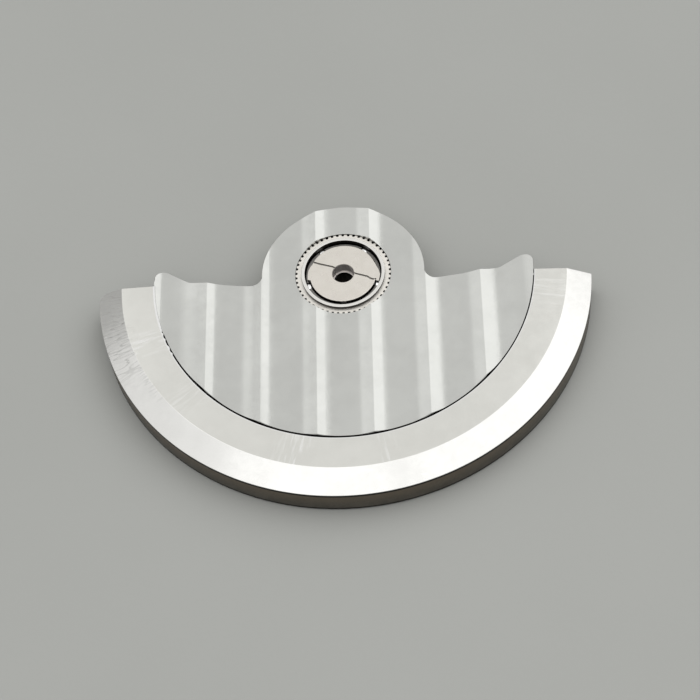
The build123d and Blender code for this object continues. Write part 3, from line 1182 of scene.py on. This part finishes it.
@dataclass
class CarrierPlate:
    """The striped plate: a half disc with two horns, and a round lobe with the bearing's bore."""

    radius: float = 9.612
    # The arc's centre is set off to the rear, so that the seam is open in front and tight at the
    # horns. Between these two angles its edge is painted dark as shade.
    set_off: float = 0.13
    open_seam: tuple[float, float] = (-161.0, -4.0)
    thickness: float = 0.50
    top_height: float = TOP_HEIGHT
    lobe_radius: float = 4.12
    bore_radius: float = BORE_RADIUS
    horn_height: float = 0.60
    crest_x: float = 8.965
    foot_x: float = 7.825
    foot_y: float = -0.10
    middle_y: float = -1.10
    tip_round: float = 0.45
    bend_round: float = 0.50
    chamfer: float = 0.03
    stripe_pitch: float = STRIPE_PITCH
    stripe_lean: float = 0.4
    # From the left stripe to the right one: its depth, where it climbs again as a share of its
    # width, and how soon it levels out.
    stripe_depths: tuple[float, ...] = (0.16, 0.15, 0.135, 0.135, 0.14, 0.15, 0.15)
    climb_starts: tuple[float, ...] = (0.45, 0.58, 0.645, 0.655, 0.635, 0.60, 0.60)
    fall_powers: tuple[float, ...] = (1.0, 0.85, 0.95, 1.0, 1.5, 1.8, 1.8)
    # How steep a stripe is as it falls and as it climbs, by the share of the way across.
    fall_slopes: Pairs = ((0.0, 1.0), (0.115, 1.0), (0.15, 0.70), (0.19, 0.56), (0.25, 0.44),
                          (0.32, 0.15), (0.40, 0.0), (1.0, 0.0))
    climb_slopes: Pairs = ((0.0, 0.0), (0.25, 0.35), (0.5, 0.85), (0.7, 1.0), (1.0, 1.0))
    cuts_per_stripe: int = 28
    snap: float = 0.012
    edge_reach: float = 0.1

    @staticmethod
    def between(table: Pairs, share: float) -> float:
        """A slope read from a table.

        Args:
            table: pairs of a share of the width and the slope there, where 1 is the steepest.
            share: the share to read at.

        Returns:
            The slope.
        """
        for (left, start), (right, end) in zip(table, table[1:]):
            if share <= right:
                return start + (end - start) * (share - left) / (right - left)
        return table[-1][1]

    def stripe_heights(self, depth: float, climb_start: float, fall_power: float) -> Pairs:
        """A stripe's section, which drops to the right of its crest, levels out and climbs to the next.

        Args:
            depth: how deep the stripe is.
            climb_start: the share of its width where it starts to climb.
            fall_power: how soon it levels out, where more is sooner.

        Returns:
            Pairs of the distance from the left crest and the height over the plate's top.
        """
        steps = self.cuts_per_stripe
        shares = [(step + 0.5) / steps for step in range(steps)]
        falls = [self.between(self.fall_slopes, share) ** fall_power for share in shares]
        climbs = [self.between(self.climb_slopes, max(0.0, (share - climb_start) / (1 - climb_start)))
                  for share in shares]
        height = 0.0
        pairs = []
        for step, (fall, climb) in enumerate(zip(falls, climbs), start=1):
            height += depth * (climb / sum(climbs) - fall / sum(falls))
            pairs.append((step * self.stripe_pitch / steps, height))
        return pairs

    def cuts(self) -> Pairs:
        """Each place across X where the stripes' surface bends.

        Returns:
            Pairs of the place and its height.
        """
        first = -self.stripe_pitch * len(self.stripe_depths) / 2
        found = [(first, self.top_height)]
        for number, stripe in enumerate(zip(self.stripe_depths, self.climb_starts, self.fall_powers)):
            found += [(first + number * self.stripe_pitch + offset, self.top_height + fall)
                      for offset, fall in self.stripe_heights(*stripe)]
        return found

    def striped_sheet(self, drop: float) -> bpy.types.Object:
        """An open sheet with the stripes' section, to set the plate's top against.

        Args:
            drop: how far the sheet lies below the plate's top.

        Returns:
            The sheet.
        """
        cuts = self.cuts()
        reach = self.radius + 1
        shift = reach * math.tan(math.radians(self.stripe_lean))
        sheet = Blank("striped_sheet", (cuts[0][0] + shift, -reach, cuts[0][1] - drop))
        for x, height in cuts[1:]:
            sheet.line_to((x + shift, -reach, height - drop))
        bpy.ops.mesh.select_all(action="SELECT")
        bpy.ops.mesh.extrude_region_move(TRANSFORM_OT_translate={"value": metres((-2 * shift, 2 * reach, 0))})
        bpy.ops.object.mode_set(mode="OBJECT")
        return sheet.piece

    def neck_centre(self, rise: float) -> tuple[float, float]:
        """The middle of the round between the straight edge and the lobe, a round's radius off both.

        Args:
            rise: how steeply the straight edge rises, in radians.

        Returns:
            Its x and y.
        """
        slope = math.tan(rise)
        offset = self.middle_y + self.bend_round / math.cos(rise)
        orbit = self.lobe_radius + self.bend_round
        root = math.sqrt((offset * slope)**2 - (1 + slope**2) * (offset**2 - orbit**2))
        x = (-offset * slope + root) / (1 + slope**2)
        return x, offset + slope * x

    def half_outline(self) -> Blank:
        """Draws the right half of the plate from above: the arc, the horn, the dip and the lobe.

        Returns:
            The blank, still on the bench.
        """
        top, bend = self.top_height, self.bend_round
        blank = Blank("carrier_plate_striped", (0, self.set_off - self.radius, top))
        tip_y = self.horn_height - self.tip_round
        tip_x = math.sqrt((self.radius - self.tip_round)**2 - (tip_y - self.set_off)**2)
        tip_angle = angle_at(tip_x, tip_y - self.set_off)
        blank.arc(QUARTER_TURN + tip_angle, steps=150, centre=(0, self.set_off, 0))
        blank.arc(QUARTER_TURN - tip_angle, steps=24, centre=(tip_x, tip_y, top))
        crest_turn = angle_at(self.crest_x - self.foot_x, self.horn_height - self.foot_y)
        shoulder_turn = angle_at(self.foot_x, self.foot_y - self.middle_y)
        crest_start = self.crest_x + bend * math.tan(math.radians(crest_turn / 2))
        blank.line_to((crest_start, self.horn_height, top))
        blank.arc(crest_turn, steps=10, centre=(crest_start, self.horn_height - bend, top))
        foot_turn = crest_turn - shoulder_turn
        back = bend * math.tan(math.radians(foot_turn / 2))
        down = math.radians(crest_turn)
        x, y = self.foot_x + back * math.cos(down), self.foot_y + back * math.sin(down)
        blank.line_to((x, y, top))
        blank.arc(-foot_turn, steps=8, centre=(x - bend * math.sin(down), y + bend * math.cos(down), top))
        rise = math.radians(shoulder_turn)
        x, y = self.neck_centre(rise)
        blank.line_to((x + bend * math.sin(rise), y - bend * math.cos(rise), top))
        lobe_angle = angle_at(x, y)
        blank.arc(-(QUARTER_TURN - shoulder_turn + lobe_angle), steps=26, centre=(x, y, top))
        blank.arc(QUARTER_TURN - lobe_angle, steps=72)
        return blank

    def at_closed_seam(self, x: float, y: float) -> bool:
        """Whether a place is on the part of the edge that lies tight against the segment."""
        return math.hypot(x, y) > self.radius - self.edge_reach and angle_at(x, y) < self.open_seam[0]

    def mill(self, blank: Blank) -> None:
        """Takes the plate off the bench and lays its top, and the chamfer's foot, on the stripes' section.

        Args:
            blank: the plate, already cut along each bend of the stripes.
        """
        drops = (0.0, self.chamfer)
        for drop in drops:
            height = self.top_height - drop
            blank.pick(lambda x, y, z, height=height: abs(z - height) < NEAR)
            bpy.ops.object.vertex_group_add()
            bpy.ops.object.vertex_group_assign()
        self.piece = blank.take_off()
        for drop, group in zip(drops, self.piece.vertex_groups.keys()):
            sheet = self.striped_sheet(drop)
            hold(self.piece)
            lay = self.piece.modifiers.new("mill", "SHRINKWRAP")
            lay.wrap_method = "PROJECT"
            lay.use_project_z = True
            lay.use_negative_direction = True
            lay.use_positive_direction = True
            lay.target = sheet
            lay.vertex_group = group
            bpy.ops.object.modifier_apply(modifier=lay.name)
            bpy.data.objects.remove(sheet)
        self.piece.vertex_groups.clear()

    def build(self, rivets: Rivets) -> None:
        """Draws the plate, mills its stripes and bores it.

        Args:
            rivets: the rivets whose blind holes it has.
        """
        blank = self.half_outline()
        bpy.ops.object.mode_set(mode="OBJECT")
        mirror = blank.piece.modifiers.new("other_half", "MIRROR")
        mirror.merge_threshold = SAME_PLACE * MM
        bpy.ops.object.modifier_apply(modifier=mirror.name)
        bpy.ops.object.mode_set(mode="EDIT")
        blank.fill()
        blank.raise_by(-self.thickness)
        blank.clean()
        blank.pick(lambda x, y, z: z > self.top_height - NEAR and not self.at_closed_seam(x, y))
        blank.round_edges(self.chamfer)
        blank.pick(lambda x, y, z: z < self.top_height - self.thickness + NEAR)
        blank.round_edges(self.chamfer)
        for x, _ in self.cuts():
            if abs(x) < self.radius:
                blank.slice_at(x, self.stripe_lean, self.snap)
        self.mill(blank)
        above = self.top_height + 1
        bore = [Corner(0, above), Corner(self.bore_radius, above), Corner(self.bore_radius, 0), Corner(0, 0)]
        carve(self.piece, turned("bore_tool", bore, BEARING_STEPS).take_off(), Carving.AWAY)
        rivets.sink_into(self.piece)
        smooth(self.piece, sharp_angle=6.0, weighted=False)

    def in_bore(self, middle: Vector, normal: Vector) -> bool:
        """Whether a face is on the bore's wall."""
        return middle.xy.length < self.bore_radius + 0.01 and abs(normal.z) < UPRIGHT

    def in_seam(self, middle: Vector, normal: Vector) -> bool:
        """Whether a face is on the edge beside the open seam."""
        at_edge = middle.xy.length > self.radius - self.edge_reach and abs(normal.z) < UPRIGHT
        return at_edge and self.open_seam[0] < angle_at(*middle.xy) < self.open_seam[1]

    def place(self) -> None:
        """Dresses the bore and the edge beside the open seam in painted shade, darker than the rest, and
        seats the plate.
        """
        dress(self.piece, PLATING, [(BORE_SHADE, self.in_bore), (SEAM_SHADE, self.in_seam)])
        seat(self.piece, Body.WEIGHT.value, "carrier_plate")


@dataclass
class OuterRace:
    """The race that turns with the weight: polished lip, knurled flange, shoulder and gear seat."""

    lip_inner_radius: float = 1.95
    lip_outer_radius: float = 2.12
    lip_height: float = 1.685
    flange_inner_radius: float = 2.11
    knurl_root_radius: float = 2.33
    knurl_tip_radius: float = BORE_RADIUS
    flange_height: float = 1.515
    shoulder_radius: float = 2.80
    shoulder_height: float = 1.20
    shoulder_bottom: float = 0.80
    gear_seat_radius: float = 2.445
    bottom: float = 0.30
    knurl_count: int = 54
    # Half the width of a tooth at its root and at its tip, as shares of the pitch.
    root_share: float = 0.32
    tip_share: float = 0.26
    knurl_chamfer: float = 0.012
    flange_overlap: float = 0.1
    edge_round: float = 0.02
    # How far down from their tops the lip and the flange keep their bright finish; below that they are
    # painted dark as shade.
    lip_depth: float = 0.012
    flange_depth: float = 0.015

    def knurled_flange(self) -> bpy.types.Object:
        """Draws one tooth of the flange and repeats it.

        Returns:
            The flange.
        """
        pitch = FULL_TURN / self.knurl_count
        top = self.flange_height
        inside = [(self.flange_inner_radius, share) for share in (-0.5, 0.0, 0.5)]
        flank = [(self.knurl_root_radius, self.root_share), (self.knurl_tip_radius, self.tip_share)]
        root = (self.knurl_root_radius, 0.5)
        other = [(radius, -share) for radius, share in (*reversed(flank), root)]
        blank = drawn("knurled_flange", [polar(radius, share * pitch, top)
                                         for radius, share in (*inside, root, *flank, *other)])
        blank.pick_places([polar(radius, side * share * pitch, top)
                           for radius, share in flank for side in (-1, 1)])
        blank.round_corners(self.edge_round)
        blank.raise_by(self.shoulder_height - self.flange_overlap - top)
        blank.repeat_tooth(self.knurl_count)
        blank.pick(lambda x, y, z: z > top - NEAR and math.hypot(x, y) > self.knurl_root_radius - NEAR)
        blank.round_edges(self.knurl_chamfer)
        return blank.take_off()

    def build(self) -> None:
        """Turns the race and joins its knurled flange to it."""
        corners = [
            Corner(self.lip_inner_radius, self.lip_height, self.edge_round),
            *TRACK.groove(self.lip_inner_radius),
            Corner(self.lip_inner_radius, self.bottom, self.edge_round),
            Corner(self.gear_seat_radius, self.bottom, self.edge_round),
            Corner(self.gear_seat_radius, self.shoulder_bottom),
            Corner(self.shoulder_radius, self.shoulder_bottom, self.edge_round),
            Corner(self.shoulder_radius, self.shoulder_height, self.edge_round),
            Corner(self.lip_outer_radius, self.shoulder_height),
            Corner(self.lip_outer_radius, self.lip_height, self.edge_round),
        ]
        self.piece = turned("outer_race_turned", corners, BEARING_STEPS).take_off()
        carve(self.piece, self.knurled_flange(), Carving.ON)
        smooth(self.piece, sharp_angle=40.0)

    def on_lip(self, middle: Vector, normal: Vector) -> bool:
        """Whether a face is on the lip's top."""
        return middle.z > self.lip_height - self.lip_depth

    def on_walls(self, middle: Vector, normal: Vector) -> bool:
        """Whether a face is inside the race, or below the flange's top and beside it, where shade is painted.
        """
        if middle.xy.length > self.lip_outer_radius + 0.01:
            return self.shoulder_bottom < middle.z < self.flange_height - self.flange_depth
        return middle.z < self.lip_height - self.lip_depth

    def place(self) -> None:
        """Dresses the lip and the flange apart, paints shade on the walls, and seats the piece."""
        dress(self.piece, FLANGE, [(LIP, self.on_lip), (RACE_SHADE, self.on_walls)])
        seat(self.piece, Body.WEIGHT.value, "bearing_outer_race")


@dataclass
class DriveGear:
    """The brass gear on the race's seat, under the plate."""

    teeth: int = 35
    bore_radius: float = 2.445
    bottom: float = 0.35
    top: float = 0.80
    # Radii up the flank, each with half the tooth's width there as a share of the pitch.
    flank: Pairs = ((2.925, 0.32), (3.15, 0.25), (3.33, 0.11))
    chamfer: float = 0.02

    def build(self) -> None:
        """Draws one tooth and repeats it."""
        pitch = FULL_TURN / self.teeth
        root = self.flank[0][0]
        inside = [(self.bore_radius, share) for share in (-0.5, -0.25, 0.0, 0.25, 0.5)]
        other = [(radius, -share) for radius, share in (*reversed(self.flank), (root, 0.5))]
        blank = drawn("drive_gear_cut", [polar(radius, share * pitch, self.bottom)
                                         for radius, share in (*inside, (root, 0.5), *self.flank, *other)])
        blank.raise_by(self.top - self.bottom)
        blank.repeat_tooth(self.teeth)
        for height in (self.bottom, self.top):
            blank.pick(lambda x, y, z, height=height:
                       abs(z - height) < NEAR and math.hypot(x, y) > root - NEAR)
            blank.round_edges(self.chamfer)
        self.piece = blank.take_off()
        smooth(self.piece, sharp_angle=30.0)

    def place(self) -> None:
        """Dresses and seats the gear."""
        dress(self.piece, BRASS)
        seat(self.piece, Body.WEIGHT.value, "drive_gear")


@dataclass
class BallSet:
    """Five balls and the crown that spaces them."""

    count: int = 5
    ball_radius: float = 0.35
    pocket_radius: float = 0.37
    first_angle: float = -90.0
    cage_inner_radius: float = 1.755
    cage_outer_radius: float = 1.895
    cage_bottom: float = 0.64
    cage_top: float = 1.41
    cage_round: float = 0.015
    ball_steps: int = 28
    cage_steps: int = 120
    pocket_steps: int = 64

    def build(self) -> None:
        """Turns one ball and its copies, and the cage with its pockets."""
        angles = [math.pi / self.ball_steps * step for step in range(self.ball_steps + 1)]
        corners = [Corner(self.ball_radius * math.sin(angle),
                          TRACK.height - self.ball_radius * math.cos(angle)) for angle in angles]
        centre = polar(TRACK.orbit, self.first_angle)
        first = turned("ball_polished_1", corners, 2 * self.ball_steps, centre=centre).take_off()
        smooth(first, sharp_angle=60.0, weighted=False)
        pitch = FULL_TURN / self.count
        self.balls = [first] + [copy_turned(first, f"ball_polished_{number + 1}", number * pitch)
                                for number in range(1, self.count)]
        ring = [Corner(radius, height, self.cage_round) for radius, height in (
            (self.cage_inner_radius, self.cage_bottom), (self.cage_outer_radius, self.cage_bottom),
            (self.cage_outer_radius, self.cage_top), (self.cage_inner_radius, self.cage_top))]
        self.cage = turned("ball_cage_crown", ring, self.cage_steps).take_off()
        for number in range(self.count):
            angle = self.first_angle + number * pitch
            bpy.ops.object.select_all(action="DESELECT")
            bpy.ops.mesh.primitive_cylinder_add(
                vertices=self.pocket_steps, radius=self.pocket_radius * MM, depth=MM,
                location=metres(polar(TRACK.orbit, angle, TRACK.height)),
                rotation=(0, math.radians(QUARTER_TURN), math.radians(angle)))
            carve(self.cage, bpy.context.object, Carving.AWAY)
        smooth(self.cage, sharp_angle=40.0)

    def place(self) -> None:
        """Dresses and seats the balls and the cage."""
        for number, piece in enumerate(self.balls, start=1):
            dress(piece, BALL)
            seat(piece, f"{Body.BALL.value}_{number}", f"ball_{number}")
        dress(self.cage, CAGE)
        seat(self.cage, Body.CAGE.value, "ball_cage")


@dataclass
class BrokenCore:
    """The bearing's core, broken in two across its stepped hole, with an ear on each half."""

    radius: float = 1.70
    top: float = 1.57
    seat_radius: float = 1.30
    relief: float = 0.30
    hole_radius: float = 0.49
    recess_radius: float = 0.55
    recess_floor: float = 0.94
    recess_chamfer: float = 0.02
    ledge_chamfer: float = 0.02
    ear_bottom: float = 1.46
    ear_root_radius: float = 1.53
    ear_root_turn: float = 3.0
    race_gap: float = 0.25
    gap: float = 0.07
    closed_gap: float = 0.012
    open_depth: float = 0.06
    edge_round: float = 0.018
    rim_round: float = 0.03
    # The crack's line from left to right, in radii of the core.
    crack: Pairs = (
        (-1.300, 0.605), (-0.897, 0.450), (-0.676, 0.365), (-0.324, 0.253), (-0.248, 0.202),
        (0.368, -0.030), (0.717, -0.155), (0.800, -0.229), (0.906, -0.269), (1.000, -0.241),
        (1.300, -0.241))
    # Each ear's outline: angles, with its reach there as a share of the gap round the core.
    rear_ear: Pairs = (
        (20.4, 0.0), (10.3, 0.16), (3.5, 0.44), (-5.7, 0.73), (-17.5, 0.75), (-18.0, 0.12), (-14.0, 0.12))
    front_ear: Pairs = (
        (160.4, 0.0), (165.3, 0.12), (172.6, 0.34), (182.0, 0.41), (189.3, 0.50), (191.6, 0.03))

    @staticmethod
    def prism(name: str, outline: Pairs, bottom: float, top: float) -> bpy.types.Object:
        """An upright solid on an outline.

        Args:
            name: the solid's name.
            outline: its corners from above.
            bottom: its lower height.
            top: its upper height.

        Returns:
            The solid.
        """
        blank = drawn(name, [(x, y, bottom) for x, y in outline])
        blank.raise_by(top - bottom)
        return blank.take_off()

    def ear(self, shares: Pairs) -> bpy.types.Object:
        """An ear of a core half.

        Args:
            shares: pairs of an angle and the ear's reach there, as a share of the gap round the core.

        Returns:
            The solid.
        """
        points = [polar(self.radius + share * self.race_gap, angle)[:2] for angle, share in shares]
        inward = math.copysign(self.ear_root_turn, shares[0][0] - shares[-1][0])
        points += [polar(self.ear_root_radius, angle)[:2] for angle in (shares[-1][0] + inward, shares[0][0])]
        return self.prism("ear", points, self.ear_bottom, self.top)

    def crack_tool(self, shift: float, bottom: float, top: float) -> bpy.types.Object:
        """All that lies to one side of the crack.

        Args:
            shift: how far it stays off the crack's middle, towards its own side.
            bottom: its lower height.
            top: its upper height.

        Returns:
            The solid.
        """
        edge = [(self.radius * x + shift, self.radius * y + shift) for x, y in self.crack]
        reach = math.copysign(1.5 * self.radius, shift)
        return self.prism("crack_tool", [*edge, (edge[-1][0], reach), (edge[0][0], reach)], bottom, top)

    def half(self, name: str, side: int, ear: Pairs) -> bpy.types.Object:
        """One half of the core.

        Args:
            name: the piece's name.
            side: 1 for the rear half and -1 for the front one.
            ear: the half's ear.

        Returns:
            The piece.
        """
        corners = [
            Corner(self.hole_radius, 0, self.edge_round),
            Corner(self.seat_radius, 0, self.edge_round),
            Corner(self.seat_radius, self.relief),
            Corner(self.radius, self.relief, self.edge_round),
            *reversed(TRACK.groove(self.radius)),
            Corner(self.radius, self.top, self.rim_round),
            Corner(self.recess_radius + self.recess_chamfer, self.top),
            Corner(self.recess_radius, self.top - self.recess_chamfer),
            Corner(self.recess_radius, self.recess_floor),
            Corner(self.hole_radius + self.ledge_chamfer, self.recess_floor),
            Corner(self.hole_radius, self.recess_floor - self.ledge_chamfer),
        ]
        piece = turned(name, corners, BEARING_STEPS).take_off()
        room = 1.0
        tool = self.crack_tool(side * self.closed_gap / 2, -room, self.top - self.open_depth)
        mouth = self.crack_tool(side * self.gap / 2, self.top - 2 * self.open_depth, self.top + room)
        carve(tool, mouth, Carving.ON)
        carve(piece, tool, Carving.COMMON)
        carve(piece, self.ear(ear), Carving.ON)
        smooth(piece, sharp_angle=35.0)
        return piece

    def build(self) -> None:
        """Makes both halves."""
        self.rear = self.half("core_half_rear", 1, self.rear_ear)
        self.front = self.half("core_half_front", -1, self.front_ear)

    def on_top(self, middle: Vector, normal: Vector) -> bool:
        """Whether a face is on a half's top or on its seat."""
        at_seat = normal.z < -LEVEL and middle.z < NEAR
        return at_seat or normal.z > TILTED and middle.z > self.ear_bottom

    def in_recess(self, middle: Vector, normal: Vector) -> bool:
        """Whether a face is in the recess for the screw's head."""
        inside = middle.xy.length < self.recess_radius + 0.01 and self.recess_floor - 0.1 < middle.z
        return inside and middle.z < self.top - self.recess_chamfer and normal.z > -TILTED

    def place(self) -> None:
        """Dresses the tops and the recess apart, paints shade on the walls, and seats the halves."""
        for piece, node in ((self.rear, "inner_race_half_rear"), (self.front, "inner_race_half_front")):
            dress(piece, CORE_SHADE, [(CORE_TOP, self.on_top), (RECESS, self.in_recess)])
            seat(piece, Body.CORE.value, node)


@dataclass(frozen=True)
class Softbox:
    """A soft white light: a flat panel over the object.

    Args:
        name: the light's name.
        middle: place of its middle.
        size: its width and length.
        brightness: what a mirror would show of it, where 1 is white.
    """

    name: str
    middle: Place
    size: tuple[float, float]
    brightness: float

    def hang(self) -> None:
        """Hangs the light, facing down."""
        lamp = bpy.data.lights.new(self.name, "AREA")
        lamp.shape = "RECTANGLE"
        lamp.size, lamp.size_y = (length * MM for length in self.size)
        lamp.energy = self.brightness * math.pi * lamp.size * lamp.size_y
        light = bpy.data.objects.new(self.name, lamp)
        light.location = metres(self.middle)
        light.visible_camera = False
        bpy.context.scene.collection.objects.link(light)


@dataclass
class Studio:
    """Floor, lights, surroundings and the camera at the photograph's angle."""

    floor_height: float = -0.303
    floor_size: float = 900.0
    surround: Colour = (0.42, 0.42, 0.412)
    aim: Place = (0.308, -4.694, 1.70)
    azimuth: float = 5.95
    elevation: float = 57.59
    roll: float = -7.78
    distance: float = 98.5
    lens: float = 102.857
    sensor: float = 36.0
    # The nearest and the farthest that the camera sees.
    sight: tuple[float, float] = (1.0, 5000.0)
    boxes: tuple[Softbox, ...] = (
        Softbox("right_box", (185, 150, 200), (302, 520), 0.87),
        Softbox("front_box", (-45, -80, 200), (150, 240), 0.87),
        Softbox("back_box", (-13, 135, 200), (90, 190), 0.39),
        Softbox("side_box", (-90, 135, 200), (64, 190), 0.60),
        Softbox("left_box", (-210, 15, 200), (180, 230), 0.48),
    )

    def lay_floor(self) -> None:
        """Lays the plain pale sheet."""
        half = self.floor_size / 2
        corners = ((-half, -half), (half, -half), (half, half), (-half, half))
        blank = drawn("floor", [(x, y, self.floor_height) for x, y in corners])
        bpy.ops.mesh.subdivide(number_cuts=3)
        floor = blank.take_off()
        floor.data.materials.append(PAPER.mixed())

    def light(self) -> None:
        """Hangs the softboxes in even surroundings."""
        world = bpy.data.worlds.new("surroundings")
        world.use_nodes = True
        world.node_tree.nodes["Background"].inputs["Color"].default_value = (*self.surround, 1.0)
        bpy.context.scene.world = world
        for box in self.boxes:
            box.hang()

    def set_camera(self) -> None:
        """Sets the camera where the photograph was taken from."""
        azimuth = math.radians(self.azimuth)
        elevation = math.radians(self.elevation)
        roll = math.radians(self.roll)
        back = Vector((math.sin(azimuth) * math.cos(elevation), -math.cos(azimuth) * math.cos(elevation),
                       math.sin(elevation)))
        level = Vector((math.cos(azimuth), math.sin(azimuth), 0))
        right = level * math.cos(roll) + back.cross(level) * math.sin(roll)
        up = back.cross(right)
        lens = bpy.data.cameras.new("camera")
        lens.sensor_width = self.sensor
        lens.lens = self.lens
        lens.clip_start, lens.clip_end = (reach * MM for reach in self.sight)
        camera = bpy.data.objects.new("camera", lens)
        camera.matrix_world = Matrix.Translation(metres(self.aim) + back * self.distance * MM) @ Matrix(
            (right, up, back)).transposed().to_4x4()
        bpy.context.scene.collection.objects.link(camera)
        bpy.context.scene.camera = camera

    def set_up(self) -> None:
        """Sets up the whole studio."""
        bpy.context.scene.view_settings.view_transform = "Standard"
        self.lay_floor()
        self.light()
        self.set_camera()


def write_sizes() -> None:
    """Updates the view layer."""
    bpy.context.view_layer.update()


def main() -> None:
    """Builds, dresses and seats every piece, then sets up the studio."""
    logging.basicConfig(level=logging.INFO, format="%(name)s: %(message)s")
    rivets = Rivets()
    rivets.build()
    segment = HeavySegment()
    segment.build(rivets)
    plate = CarrierPlate()
    plate.build(rivets)
    race, gear, balls, core = OuterRace(), DriveGear(), BallSet(), BrokenCore()
    for group in (race, gear, balls, core):
        group.build()
    for group in (rivets, segment, plate, race, gear, balls, core):
        group.place()
    Studio().set_up()
    write_sizes()


if __name__ == "__main__":
    main()
